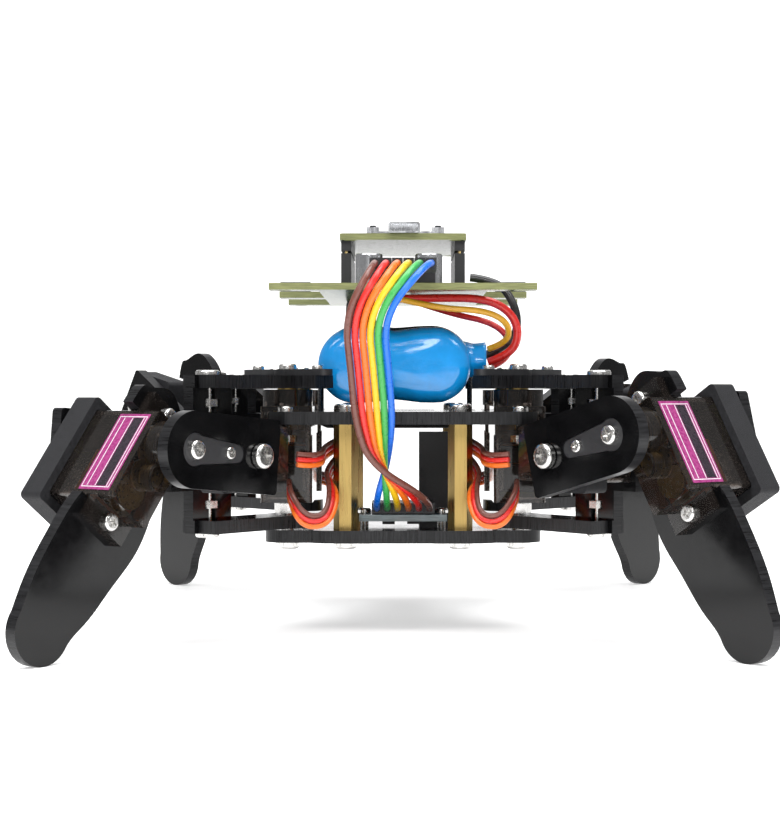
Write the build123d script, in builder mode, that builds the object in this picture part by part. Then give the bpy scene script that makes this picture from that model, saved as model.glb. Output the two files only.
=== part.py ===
from build123d import *
from math import asin, cos, degrees, pi, radians, sin
import os

os.makedirs("parts", exist_ok=True)

# ---- driving dimensions (mm) -------------------------------------------------------------------
# Frame: +Z up from the floor, front (connector side) towards -Y, origin under the middle of the
# bounding box.  BODY_X / BODY_Y place the chassis centre inside that box.
BODY_X, BODY_Y = 0.0, 7.65

ACRYLIC = 3.0                   # laser-cut sheet
PLATE_LOW, PLATE_MID = 21.0, 49.0   # undersides of the two chassis plates
STANDOFF_X, STANDOFF_Y, STANDOFF_AF = 13.7, 32.0, 5.0
YAW_X, YAW_Y = 27.5, 32.0       # yaw axes from the chassis centre
PLATE_HALF_X, PLATE_HALF_Y = 31.5, 44.0

M2_R, M3_R = 1.0, 1.5
HOLE_GAP = 0.1                  # screw in a hole of the same body
RUN_GAP = 0.08                  # shaft in a bearing of another body

# micro servo
SV_L, SV_W, SV_H = 22.8, 12.2, 22.7     # main case
SV_SHAFT = 6.0                  # shaft axis from the near end of the case
SV_EAR_Z, SV_EAR_T, SV_EAR_L = 16.0, 2.5, 32.3
SV_DOME = 4.0                   # gear dome above the case
SV_HOLES = 28.0
SV_MID = SV_L / 2 - SV_SHAFT    # shaft axis to case middle, 5.4
SHAFT_R, BORE_DEPTH = 2.45, 3.2

# leg, in its own frame: +X outwards along the leg, +Z up, front face of the leg towards -Y
COXA_LOW, COXA_HIGH = 24.5, 57.5    # undersides of the two coxa bars
COXA_W, COXA_END, COXA_R = 10.2, 30.0, 5.8
HIP_Z = 42.5
TEE_X = 25.5                    # T-slot joint and middle of the hip servo case
HIP_X = TEE_X + SV_MID          # hip axis
FEMUR = 20.0                    # hip axis to knee axis
LINK_IN, LINK_OUT = 16.5, 19.5  # link faces from the leg's middle plane
LINK_R, LINK_TAIL = 8.3, 6.2
SHEET_GAP = 0.2                 # hip and knee plates either side of the middle plane
CASE_FLOOR = SV_EAR_Z - ACRYLIC - SHEET_GAP     # case floor from the leg's middle plane
FOOT_U, FOOT_V, FOOT_R = 46.3, -0.8, 7.4    # rounded foot: centre below / outside the knee axis
ARM_H = 7.0                     # height of the side plate's arms under the chassis plate

# legs: mirrored?, yaw axis side, heading of the leg about Z, tibia lean from vertical
LEGS = {
    "front_right": (False, 1, -1, -51.0, 31.0),
    "front_left": (True, -1, -1, 180.0 + 51.5, 38.0),
    "rear_left": (False, -1, 1, 180.0 - 46.0, 12.0),
    "rear_right": (True, 1, 1, 45.0, 18.0),
}


def knee_height(lean):
    """Height of the knee axis that stands the rounded foot on the floor."""
    t = radians(lean)
    return FOOT_U * cos(t) - FOOT_V * sin(t) + FOOT_R


def hip_lift(lean):
    """Femur angle above level that puts the knee axis at that height."""
    return degrees(asin((knee_height(lean) - HIP_Z) / FEMUR))


CHASSIS = Location((BODY_X, BODY_Y, 0))


def save(part, name):
    part.label = name
    export_step(part, f"parts/{name}.step")


# ---- shared pieces -----------------------------------------------------------------------------
def pan_screw(radius, head_r, head_h, length):
    """Pan-head screw, underside of the head at z = 0, shank downwards."""
    with BuildPart() as s:
        with BuildSketch(Plane.XY):
            Circle(head_r)
        extrude(amount=head_h)
        fillet(s.faces().sort_by(Axis.Z)[-1].edges(), head_h * 0.45)
        with BuildSketch(Plane.XY.offset(head_h)):
            for turn in (0, 90):
                with Locations(Rot(0, 0, turn)):
                    Rectangle(head_r * 1.1, head_r * 0.24)
        extrude(amount=-head_h * 0.45, mode=Mode.SUBTRACT)
        with BuildSketch(Plane.XY):
            Circle(radius)
        extrude(amount=-length)
    return s.part


def hex_nut(flats, radius, height):
    with BuildPart() as n:
        with BuildSketch(Plane.XY):
            RegularPolygon(flats / 2, 6, major_radius=False)
            Circle(radius + 0.02, mode=Mode.SUBTRACT)
        extrude(amount=height)
    return n.part


def servo():
    """Micro servo case: floor at z = 0, shaft axis on Z, case running to +X from the shaft."""
    with BuildPart() as s:
        with BuildSketch(Plane.XY):
            with Locations((SV_MID, 0)):
                RectangleRounded(SV_L, SV_W, 0.8)
        extrude(amount=SV_H)
        with BuildSketch(Plane.XY.offset(SV_EAR_Z)):
            with Locations((SV_MID, 0)):
                Rectangle(SV_EAR_L, SV_W)
        extrude(amount=SV_EAR_T)
        with BuildSketch(Plane.XY.offset(SV_H)):
            Circle(SV_W / 2 - 0.15)
            with Locations((SV_SHAFT + 1.6, 0)):
                Circle(2.9)
        extrude(amount=SV_DOME)
        with BuildSketch(Plane.XY.offset(SV_EAR_Z)):
            with Locations((SV_MID - SV_HOLES / 2, 0), (SV_MID + SV_HOLES / 2, 0)):
                Circle(M2_R + HOLE_GAP)
        extrude(amount=SV_EAR_T, mode=Mode.SUBTRACT)
        with BuildSketch(Plane.XY.offset(SV_H + SV_DOME)):
            Circle(SHAFT_R + RUN_GAP)
        extrude(amount=-BORE_DEPTH, mode=Mode.SUBTRACT)
    return s.part


def horn_shape(span, tip_r, hub_r, both=False, grow=0.0):
    """Outline of a servo horn lying along -X (and +X when both)."""
    with BuildSketch() as k:
        Circle(hub_r + grow)
        for side in ((-1, 1) if both else (-1,)):
            with BuildLine():
                Polyline((0, hub_r * 0.92 + grow), (side * span, tip_r + grow), (side * span, -tip_r - grow),
                         (0, -hub_r * 0.92 - grow), close=True)
            make_face()
            with Locations((side * span, 0)):
                Circle(tip_r + grow)
    return k.sketch


def link_outline():
    """Femur link: round about the knee axis (0, 0), square tail past the hip axis."""
    with BuildSketch() as k:
        Circle(LINK_R)
        with Locations((-(FEMUR + LINK_TAIL) / 2, 0)):
            Rectangle(FEMUR + LINK_TAIL, 2 * LINK_R)
        fillet(k.vertices().group_by(Axis.X)[0], 1.0)
    return k.sketch


HORN_SPAN, HORN_TIP, HORN_HUB, HORN_T = 13.0, 2.0, 3.5, 1.7
HORN_SCREW = 10.5
POCKET = HORN_T + 0.2


def driven_link():
    """Link with the horn let into its outer face; outer face at z = ACRYLIC, knee end at the origin."""
    with BuildPart() as p:
        with BuildSketch(Plane.XY):
            add(link_outline())
            Circle(HORN_HUB - 0.4, mode=Mode.SUBTRACT)
            with Locations((-HORN_SCREW, 0)):
                Circle(0.75, mode=Mode.SUBTRACT)
            with Locations((-FEMUR, 0)):
                Circle(M3_R + RUN_GAP, mode=Mode.SUBTRACT)
        extrude(amount=ACRYLIC)
        with BuildSketch(Plane.XY.offset(ACRYLIC)):
            add(horn_shape(HORN_SPAN, HORN_TIP, HORN_HUB, grow=0.1))
        extrude(amount=-POCKET, mode=Mode.SUBTRACT)
    return p.part


def horn_and_shaft():
    """Horn in its pocket, hub, shaft into the servo bore, retaining and horn screws."""
    face = ACRYLIC - POCKET
    reach = LINK_IN - (SV_H + SV_DOME - CASE_FLOOR) + BORE_DEPTH - 0.3
    with BuildPart() as p:
        with BuildSketch(Plane.XY.offset(face)):
            add(horn_shape(HORN_SPAN, HORN_TIP, HORN_HUB))
        extrude(amount=HORN_T)
        with BuildSketch(Plane.XY.offset(face)):
            Circle(HORN_HUB - 0.5)
        extrude(amount=-face - 2.2)
        with BuildSketch(Plane.XY):
            Circle(SHAFT_R)
        extrude(amount=-reach)
        with BuildSketch(Plane.XY.offset(face + HORN_T)):
            with Locations((-HORN_SCREW, 0)):
                Circle(0.7)
        extrude(amount=-HORN_T, mode=Mode.SUBTRACT)
        with Locations((0, 0, face + HORN_T)):
            add(pan_screw(M2_R, 2.1, 1.4, 2.0))
    screw = pan_screw(0.65, 1.35, 0.9, 3.2).moved(Location((-HORN_SCREW, 0, face + HORN_T)))
    return combine(p.part, screw)


def mirrored(shape, flip):
    return shape.mirror(Plane.XZ) if flip else shape


def combine(*shapes):
    solids = []
    for shape in shapes:
        solids += list(shape.solids())
    return Compound(solids)


# ---- coxa ---------------------------------------------------------------------------------------
def coxa_bar(z, hole_r, horn_holes):
    with BuildPart() as p:
        with BuildSketch(Plane.XY.offset(z)):
            Circle(COXA_R)
            with Locations((COXA_END / 2, 0)):
                Rectangle(COXA_END, COXA_W)
            if horn_holes:
                with Locations((0, 0)):
                    Rectangle(6.4, 23.0)
            Circle(hole_r, mode=Mode.SUBTRACT)
            with Locations((TEE_X, 0)):
                with Locations((0, SHEET_GAP + ACRYLIC / 2)):
                    Circle(M2_R + HOLE_GAP, mode=Mode.SUBTRACT)
                with Locations((-4.2, SHEET_GAP + ACRYLIC / 2), (4.2, SHEET_GAP + ACRYLIC / 2)):
                    Rectangle(3.2, ACRYLIC + 0.1, mode=Mode.SUBTRACT)
            if horn_holes:
                with Locations((0, 9.5), (0, -9.5)):
                    Circle(0.8, mode=Mode.SUBTRACT)
        extrude(amount=ACRYLIC)
    return p.part


def side_plate():
    """Upright carrying the hip servo by its ears, tabbed and T-slotted into the two bars."""
    low, high = COXA_LOW + ACRYLIC, COXA_HIGH
    y0 = -(SHEET_GAP + ACRYLIC)
    with BuildPart() as p:
        with BuildSketch(Plane.XZ.offset(y0)):
            with Locations((TEE_X, (low + high) / 2)):
                Rectangle(12.4, high - low)
            with Locations((TEE_X, HIP_Z)):
                Rectangle(SV_EAR_L - 0.3, ARM_H)
                Rectangle(SV_L + 3.2, 16.4)
            for x in (-4.2, 4.2):
                with Locations((TEE_X + x, (low + high) / 2)):
                    Rectangle(3.0, high - low + 2 * ACRYLIC)
            with Locations((TEE_X, HIP_Z)):
                Rectangle(SV_L + 0.2, SV_W + 0.2, mode=Mode.SUBTRACT)
            with Locations((TEE_X - SV_HOLES / 2, HIP_Z), (TEE_X + SV_HOLES / 2, HIP_Z)):
                Circle(M2_R + HOLE_GAP, mode=Mode.SUBTRACT)
            for edge, sign in ((low, 1), (high, -1)):
                with Locations((TEE_X, edge + sign * 3.5)):
                    Rectangle(2.2, 7.0, mode=Mode.SUBTRACT)
                with Locations((TEE_X, edge + sign * 3.4)):
                    Rectangle(4.8, 1.9, mode=Mode.SUBTRACT)
        extrude(amount=ACRYLIC)
    return p.part


def idler_cap(reach=SV_MID + SV_L / 2 + 2.3):
    """Printed cap round the floor of a servo as far as `reach` from the shaft, with the boss for the idler pivot.

    Servo frame: floor of the case at z = 0, boss pointing to -Z on the shaft axis."""
    with BuildPart() as p:
        with BuildSketch(Plane.XY.offset(3.3)):
            near_end = SV_MID - SV_L / 2 - 2.3
            with Locations(((near_end + reach) / 2, 0)):
                RectangleRounded(reach - near_end, SV_W + 4.0, 1.2)
        extrude(amount=-6.3)
        with BuildSketch(Plane.XY.offset(3.3)):
            with Locations((SV_MID, 0)):
                RectangleRounded(SV_L + 0.2, SV_W + 0.2, 0.8)
        extrude(amount=-3.3, mode=Mode.SUBTRACT)
        with BuildSketch(Plane.XY.offset(-3.0)):
            Circle(4.2)
        extrude(amount=-(LINK_IN - CASE_FLOOR - 3.0 - 0.3))
        with BuildSketch(Plane.XY.offset(-(LINK_IN - CASE_FLOOR - 0.3))):
            Circle(M3_R + 0.02)
        extrude(amount=3.5, mode=Mode.SUBTRACT)
    return p.part


def pivot_screw():
    """Idler pivot: shank through a link into the cap's boss (servo frame of the cap)."""
    head_at = LINK_OUT + 0.3 - CASE_FLOOR
    return pan_screw(M3_R, 2.8, 1.8, ACRYLIC + 0.6 + 3.0).moved(
        Plane(origin=(0, 0, -head_at), x_dir=(1, 0, 0), z_dir=(0, 0, -1)).location)


HIP_FRAME = Plane(origin=(HIP_X, -CASE_FLOOR, HIP_Z), x_dir=(-1, 0, 0), z_dir=(0, 1, 0)).location
KNEE_FRAME = Plane(origin=(0, CASE_FLOOR, 0), x_dir=(0, 0, -1), z_dir=(0, -1, 0)).location


def coxa_hardware():
    top = COXA_HIGH + ACRYLIC
    servo_top = PLATE_MID - (SV_EAR_Z + SV_EAR_T) + SV_H + SV_DOME
    with BuildPart() as horn:
        with BuildSketch(Plane.XY.offset(top)):
            add(horn_shape(11.5, 2.0, 3.4, both=True).rotate(Axis.Z, 90))
            with Locations((0, 9.5), (0, -9.5)):
                Circle(0.7, mode=Mode.SUBTRACT)
        extrude(amount=1.5)
        with BuildSketch(Plane.XY.offset(top)):
            Circle(SHAFT_R)
        extrude(amount=-(top - servo_top + BORE_DEPTH - 0.3))
        with Locations((0, 0, top + 1.5)):
            add(pan_screw(M2_R, 2.1, 1.3, 2.0))
    pieces = [horn.part]
    for y in (-9.5, 9.5):
        pieces.append(pan_screw(0.65, 1.4, 0.9, 4.3).moved(Location((0, y, top + 1.5))))
    tee_y = SHEET_GAP + ACRYLIC / 2
    for z, up, nut in ((top, 1, COXA_HIGH - 4.2), (COXA_LOW, -1, COXA_LOW + ACRYLIC + 2.6)):
        pieces.append(pan_screw(M2_R, 2.75, 1.1, 9.4).moved(
            Plane(origin=(TEE_X, tee_y, z), x_dir=(1, 0, 0), z_dir=(0, 0, up)).location))
        pieces.append(hex_nut(4.0, M2_R, 1.6).moved(Location((TEE_X, tee_y, nut))))
    for x in (TEE_X - SV_HOLES / 2, TEE_X + SV_HOLES / 2):
        ear_y = SHEET_GAP + ACRYLIC + SV_EAR_T
        pieces.append(pan_screw(M2_R, 1.9, 1.3, ACRYLIC + SV_EAR_T + 0.0).moved(
            Plane(origin=(x, ear_y, HIP_Z), x_dir=(1, 0, 0), z_dir=(0, 1, 0)).location))
    pieces.append(pivot_screw().moved(HIP_FRAME))
    return combine(*pieces)


# ---- tibia --------------------------------------------------------------------------------------
def tibia_plate():
    """Tibia blade in the knee frame: knee axis at the origin, foot towards -Z, outside towards +X."""
    with BuildPart() as p:
        with BuildSketch(Plane.XZ.offset(SHEET_GAP)):
            with BuildLine():
                a = Spline((8.2, -17.3), (8.9, -27.0), (8.3, -38.0), (6.6, -FOOT_U),
                           tangents=((0.25, -1), (-0.25, -1)))
                b = ThreePointArc(a @ 1, (FOOT_V, -FOOT_U - FOOT_R), (FOOT_V - FOOT_R, -FOOT_U))
                c = Spline(b @ 1, (-9.6, -39.0), (-11.2, -29.0), (-12.6, -19.0), (-10.8, -8.0), (-8.8, 0.0),
                           (-8.4, 6.0), tangents=((0.1, 1), (0.1, 1)))
                d = Spline(c @ 1, (-7.0, 10.8), (-3.6, 13.9), (1.4, 15.0), (6.3, 12.0), (8.4, 6.3),
                           tangents=((0.1, 1), (0, -1)))
                Polyline(d @ 1, (-SV_W / 2 - 0.15, 6.3), (-SV_W / 2 - 0.15, -17.3), a @ 0)
            make_face()
            with Locations((0, -SV_MID - SV_HOLES / 2), (0, -SV_MID + SV_HOLES / 2)):
                Circle(M2_R + HOLE_GAP, mode=Mode.SUBTRACT)
        extrude(amount=ACRYLIC)
    return p.part


def knee_screws():
    ear_n = SHEET_GAP + ACRYLIC + SV_EAR_T
    return [pan_screw(M2_R, 1.9, 1.3, ACRYLIC + SV_EAR_T).moved(
        Plane(origin=(0, -ear_n, z), x_dir=(1, 0, 0), z_dir=(0, -1, 0)).location)
        for z in (-SV_MID - SV_HOLES / 2, -SV_MID + SV_HOLES / 2)]


# ---- the four legs ------------------------------------------------------------------------------
SERVO, CAP, SHORT_CAP = servo(), idler_cap(), idler_cap(5.6)
BARS = combine(coxa_bar(COXA_HIGH, SHAFT_R + 0.35, True), coxa_bar(COXA_LOW, M3_R + RUN_GAP, False))
SIDE, COXA_HW = side_plate(), coxa_hardware()
LINK, HORN = driven_link(), horn_and_shaft()
TIBIA = tibia_plate()
FRONT_LINK = Plane.XZ.offset(LINK_IN).location
REAR_LINK = (Plane(origin=(-FEMUR, LINK_IN, 0), x_dir=(-1, 0, 0), z_dir=(0, 1, 0))).location

for leg, (flip, sx, sy, heading, lean) in LEGS.items():
    base = CHASSIS * Location((sx * YAW_X, sy * YAW_Y, 0), (0, 0, heading))
    lift = hip_lift(lean)
    # positive femur and tibia angles lift the leg: turns about -Y of the unmirrored leg frame
    femur = Location((HIP_X, 0, HIP_Z)) * Location((0, 0, 0), (0, -lift, 0)) * Location((FEMUR, 0, 0))
    knee = Location((HIP_X + FEMUR * cos(radians(lift)), 0, HIP_Z + FEMUR * sin(radians(lift))),
                    (0, -lean, 0))
    pieces = {
        "coxa_plates": BARS,
        "coxa_side_plate": SIDE,
        "hip_servo": SERVO.moved(HIP_FRAME),
        "hip_bracket": SHORT_CAP.moved(HIP_FRAME),
        "coxa_hardware": COXA_HW,
        "femur_front_link": LINK.moved(femur * FRONT_LINK),
        "femur_rear_link": LINK.moved(femur * REAR_LINK),
        "femur_hardware": combine(HORN.moved(femur * FRONT_LINK), HORN.moved(femur * REAR_LINK)),
        "tibia_plate": TIBIA.moved(knee),
        "knee_servo": SERVO.moved(knee * KNEE_FRAME),
        "knee_bracket": combine(CAP.moved(knee * KNEE_FRAME), pivot_screw().moved(knee * KNEE_FRAME),
                                *[s.moved(knee) for s in knee_screws()]),
    }
    for piece, shape in pieces.items():
        save(mirrored(shape, flip).moved(base), f"{leg}_{piece}")

# ---- chassis ------------------------------------------------------------------------------------
BAT_X, BAT_R, BAT_Z = -2.0, 9.2, 53.9       # two round cells side by side on the screw heads
BAT_Y0, BAT_Y1 = -33.0, 34.0
BOARD_Z, BOARD_T, BOARD_HALF_X = 80.6, 1.6, 31.5
BOARD_Y0, BOARD_Y1, BOARD_SPINE = -40.0, 45.0, 20.0
WINGS = ((-40.0, -33.0), (-1.0, 7.0), (38.0, 45.0))
MCU_Z, MCU_W, MCU_L, MCU_Y0 = 93.8, 31.0, 58.0, -21.0
HEADER_X, HEADER_H = 13.97, 8.5
SENSOR_Z, SENSOR_Y, SENSOR_HOLE_X = 25.4, -19.0, 9.45
PITCH = 2.54
JUMPER_Z, JUMPER_END_Y, JUMPER_R = 85.6, -58.0, 0.8
PLUG_END_Y, PLUG_Z, PLUG_X = -28.2, 28.6, 0.0
KEY_X, KEY_Y, KEY_TRAVEL = (-7.4, 8.6), -17.6, 0.25
CORNERS = [(sx, sy) for sx in (-1, 1) for sy in (-1, 1)]


def place(shape, *locations):
    return [shape.moved(loc) for loc in locations]


with BuildPart() as bottom_plate:
    with BuildSketch(Plane.XY.offset(PLATE_LOW)):
        RectangleRounded(46, 2 * STANDOFF_Y + 15, 6)
        with Locations(*[(sx * YAW_X, sy * YAW_Y) for sx, sy in CORNERS]):
            Circle(5.3)
        with Locations((0, YAW_Y), (0, -YAW_Y)):
            Rectangle(2 * YAW_X, 10.6)
        with Locations(*[(sx * STANDOFF_X, sy * STANDOFF_Y) for sx, sy in CORNERS]):
            Circle(M3_R + HOLE_GAP, mode=Mode.SUBTRACT)
        with Locations(*[(sx * YAW_X, sy * YAW_Y) for sx, sy in CORNERS]):
            Circle(M3_R + HOLE_GAP, mode=Mode.SUBTRACT)
        with Locations((SENSOR_HOLE_X, SENSOR_Y), (-SENSOR_HOLE_X, SENSOR_Y)):
            Circle(M2_R + HOLE_GAP, mode=Mode.SUBTRACT)
        with Locations(*[(sx * 15.0, y) for sx in (-1, 1) for y in (-5.0, 15.0)]):
            Circle(1.6, mode=Mode.SUBTRACT)
        with Locations((0, 14)):
            RectangleRounded(18, 12, 2, mode=Mode.SUBTRACT)
    extrude(amount=ACRYLIC)

STRAP_X = (BAT_X - 2 * BAT_R - 1.0, BAT_X + 2 * BAT_R + 1.0)
with BuildPart() as middle_plate:
    with BuildSketch(Plane.XY.offset(PLATE_MID)) as outline:
        Rectangle(2 * PLATE_HALF_X, 2 * PLATE_HALF_Y)
        chamfer(outline.vertices(), 4.0)
        for sx, sy in CORNERS:
            x_in = YAW_X - SV_W / 2 - 0.1
            y_mid = YAW_Y - SV_MID
            with Locations((sx * (x_in + 10), sy * y_mid)):
                Rectangle(20, SV_L + 0.2, mode=Mode.SUBTRACT)
            with Locations((sx * YAW_X, sy * (y_mid - SV_HOLES / 2)), (sx * YAW_X, sy * (y_mid + SV_HOLES / 2))):
                Circle(M2_R + HOLE_GAP, mode=Mode.SUBTRACT)
            with Locations((sx * STANDOFF_X, sy * STANDOFF_Y)):
                Circle(M3_R + HOLE_GAP, mode=Mode.SUBTRACT)
        with Locations((STRAP_X[0], 0), (STRAP_X[1], 0)):
            Rectangle(2.2, 19.0, mode=Mode.SUBTRACT)
        with Locations((0, 0)):
            RectangleRounded(16, 14, 2, mode=Mode.SUBTRACT)
    extrude(amount=ACRYLIC)

with BuildPart() as standoff:
    with BuildSketch(Plane.XY.offset(PLATE_LOW + ACRYLIC)):
        RegularPolygon(STANDOFF_AF / 2, 6, major_radius=False)
        Circle(M3_R + 0.05, mode=Mode.SUBTRACT)
    extrude(amount=PLATE_MID - PLATE_LOW - ACRYLIC)

DOWN = Plane(origin=(0, 0, 0), x_dir=(1, 0, 0), z_dir=(0, 0, -1)).location
m3_short = pan_screw(M3_R, 2.8, 1.8, ACRYLIC + 6)
m3_pivot = pan_screw(M3_R, 2.8, 1.8, 9.2)
m2_ear = pan_screw(M2_R, 1.9, 1.3, 7.6)
m2_sensor = pan_screw(M2_R, 1.6, 1.2, SENSOR_Z + 1.6 - PLATE_LOW + 2.0)
fasteners = []
for sx, sy in CORNERS:
    at = Location((sx * STANDOFF_X, sy * STANDOFF_Y, 0))
    y_mid = YAW_Y - SV_MID
    fasteners += place(m3_short, at * Location((0, 0, PLATE_MID + ACRYLIC)), at * Location((0, 0, PLATE_LOW)) * DOWN)
    pivot = Location((sx * YAW_X, sy * YAW_Y, 0))
    fasteners += place(m3_pivot, pivot * Location((0, 0, PLATE_LOW)) * DOWN)
    fasteners += place(hex_nut(5.5, M3_R, 2.3), pivot * Location((0, 0, COXA_LOW + ACRYLIC + 0.3)))
    for y in (y_mid - SV_HOLES / 2, y_mid + SV_HOLES / 2):
        ear = Location((sx * YAW_X, sy * y, 0))
        fasteners += place(m2_ear, ear * Location((0, 0, PLATE_MID + ACRYLIC)))
        fasteners += place(hex_nut(4.0, M2_R, 1.6), ear * Location((0, 0, PLATE_MID - SV_EAR_T - 1.6)))
for sx in (-1, 1):
    fasteners += place(m2_sensor, Location((sx * SENSOR_HOLE_X, SENSOR_Y, SENSOR_Z + 1.6)))
    fasteners += place(hex_nut(4.0, M2_R, 1.6), Location((sx * SENSOR_HOLE_X, SENSOR_Y, PLATE_LOW - 1.6)))

servo_floor = PLATE_MID - SV_EAR_Z - SV_EAR_T
yaw_servos = [SERVO.moved(Location((sx * YAW_X, sy * YAW_Y, servo_floor), (0, 0, -90 * sy))) for sx, sy in CORNERS]

cell_z = BAT_Z + BAT_R
with BuildPart() as battery_pack:
    with BuildSketch(Plane.XZ.offset(-BAT_Y1)):
        with Locations((BAT_X - BAT_R, cell_z), (BAT_X + BAT_R, cell_z)):
            Circle(BAT_R)
        with Locations((BAT_X, cell_z)):
            Rectangle(2 * BAT_R, 15.4)
    extrude(amount=BAT_Y1 - BAT_Y0)
    fillet(battery_pack.faces().group_by(Axis.Y)[0].edges(), 1.6)
    fillet(battery_pack.faces().group_by(Axis.Y)[-1].edges(), 1.6)
    with BuildSketch(Plane.YZ.offset(BAT_X + 2 * BAT_R - 2.5)):
        with Locations((-25.5, cell_z + 1.5)):
            RectangleRounded(9.0, 8.0, 2.0)
    extrude(amount=6.2)

with BuildPart() as battery_strap:
    with BuildSketch(Plane.XZ.offset(-9.0)):
        for grow, low, mode in ((1.7, PLATE_MID - 1.7, Mode.ADD), (0.3, PLATE_MID - 0.3, Mode.SUBTRACT)):
            half, top = 2 * BAT_R + grow, BAT_Z + 2 * BAT_R + grow
            with Locations((BAT_X, cell_z)):
                SlotOverall(2 * half, 2 * (BAT_R + grow), mode=mode)
            with Locations((BAT_X, (low + cell_z) / 2)):
                Rectangle(2 * half, cell_z - low, mode=mode)
    extrude(amount=18.0)

with BuildPart() as board_pad:
    with BuildSketch(Plane.XY.offset(BAT_Z + 2 * BAT_R)):
        with Locations((BAT_X - BAT_R, 22)):
            Rectangle(8.6, 20)
    extrude(amount=BOARD_Z - BAT_Z - 2 * BAT_R)

with BuildPart() as circuit_board:
    with BuildSketch(Plane.XY.offset(BOARD_Z)):
        with Locations((0, (BOARD_Y0 + BOARD_Y1) / 2)):
            Rectangle(2 * BOARD_SPINE, BOARD_Y1 - BOARD_Y0)
        for y0, y1 in WINGS:
            with Locations((0, (y0 + y1) / 2)):
                Rectangle(2 * BOARD_HALF_X, y1 - y0)
        with Locations(*[(sx * 28.0, y) for sx in (-1, 1) for y in (-36.5, 41.5)]):
            Circle(1.6, mode=Mode.SUBTRACT)
    extrude(amount=BOARD_T)

board_top = BOARD_Z + BOARD_T
pin_y = [MCU_Y0 + 4.0 + PITCH * k for k in range(15)]
components = [circuit_board.part]
with BuildPart() as sockets:
    with Locations(*[(sx * HEADER_X, (pin_y[0] + pin_y[-1]) / 2, board_top + HEADER_H / 2) for sx in (-1, 1)]):
        Box(2.5, 15 * PITCH, HEADER_H)
with BuildPart() as cans:
    with BuildSketch(Plane.XY.offset(board_top)):
        with Locations((-8.2, -26.0), (6.2, -26.0)):
            Circle(3.3)
    extrude(amount=7.8)
    fillet(cans.faces().group_by(Axis.Z)[-1].edges(), 0.5)
with BuildPart() as front_header:
    with Locations((0, BOARD_Y0 + 2.4, board_top + 2.4)):
        Box(6 * PITCH, 2.4, 4.8)
    with Locations(*[((k - 2.5) * PITCH, BOARD_Y0 - 1.8, JUMPER_Z) for k in range(6)]):
        Box(0.6, 6.0, 0.6)
with BuildPart() as side_headers:
    with Locations(*[(sx * (BOARD_HALF_X - 4.0), (y0 + y1) / 2, board_top + 1.25)
                     for sx in (-1, 1) for y0, y1 in WINGS[1:2]]):
        Box(3 * PITCH, 2 * PITCH, 2.5)
for more in (sockets, cans, front_header, side_headers):
    components.append(more.part)

with BuildPart() as wifi_board:
    with BuildSketch(Plane.XY.offset(MCU_Z)):
        with Locations((0, MCU_Y0 + MCU_L / 2)):
            RectangleRounded(MCU_W, MCU_L, 1.5)
        with Locations(*[(sx * (MCU_W / 2 - 2.6), MCU_Y0 + y) for sx in (-1, 1) for y in (2.0, MCU_L - 2.6)]):
            Circle(1.5, mode=Mode.SUBTRACT)
    extrude(amount=1.6)
usb_z, mcu_top = MCU_Z + 1.6, MCU_Z + 1.6
with BuildPart() as usb_port:
    with BuildSketch(Plane.XZ.offset(-(MCU_Y0 + 4.9))):
        with Locations((0.3, usb_z + 1.4)):
            RectangleRounded(7.8, 2.7, 0.7)
    extrude(amount=5.7)
    with BuildSketch(Plane.XZ.offset(-(MCU_Y0 - 0.8))):
        with Locations((0.3, usb_z + 1.4)):
            RectangleRounded(6.9, 1.8, 0.5)
    extrude(amount=-4.6, mode=Mode.SUBTRACT)
with BuildPart() as pin_rows:
    with Locations(*[(sx * HEADER_X, (pin_y[0] + pin_y[-1]) / 2, MCU_Z - 1.25) for sx in (-1, 1)]):
        Box(2.5, 15 * PITCH, 2.5)
    with BuildSketch(Plane.XY.offset(board_top + HEADER_H)):
        with Locations(*[(sx * HEADER_X, y) for sx in (-1, 1) for y in pin_y]):
            Rectangle(0.6, 0.6)
    extrude(amount=MCU_Z - 2.5 - board_top - HEADER_H)
with BuildPart() as radio_can:
    with Locations((0, MCU_Y0 + MCU_L - 14, mcu_top + 1.6)):
        Box(16, 24, 3.2)
with BuildPart() as key_cases:
    with Locations(*[(x, KEY_Y, mcu_top + 0.8) for x in KEY_X]):
        Box(3.0, 4.2, 1.6)
    with BuildSketch(Plane.XY.offset(mcu_top + 1.6)):
        with Locations(*[(x, KEY_Y) for x in KEY_X]):
            Circle(0.8)
    extrude(amount=-1.3, mode=Mode.SUBTRACT)
mcu_parts = [wifi_board.part, usb_port.part, pin_rows.part, radio_can.part, key_cases.part]

with BuildPart() as key_cap:
    with BuildSketch(Plane.XY.offset(mcu_top + 0.3 + KEY_TRAVEL + 0.15)):
        Circle(0.75)
    extrude(amount=1.4)

with BuildPart() as sensor_board:
    with BuildSketch(Plane.XY.offset(SENSOR_Z)):
        with Locations((0, SENSOR_Y)):
            Rectangle(21.2, 16.4)
        with Locations((SENSOR_HOLE_X, SENSOR_Y), (-SENSOR_HOLE_X, SENSOR_Y)):
            Circle(M2_R + HOLE_GAP, mode=Mode.SUBTRACT)
    extrude(amount=1.6)
with BuildPart() as sensor_parts:
    with Locations((PLUG_X, -13.0, SENSOR_Z + 1.6 + 1.3)):
        Box(6 * PITCH, 2.3, 2.6)
    with Locations((-3.5, -24, SENSOR_Z - 0.5), (2.5, -24.5, SENSOR_Z - 0.4), (6.0, -22, SENSOR_Z - 0.35)):
        Box(3.0, 2.0, 0.7)
sensor_bits = [sensor_board.part] + [s for s in sensor_parts.part.solids()]

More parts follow.
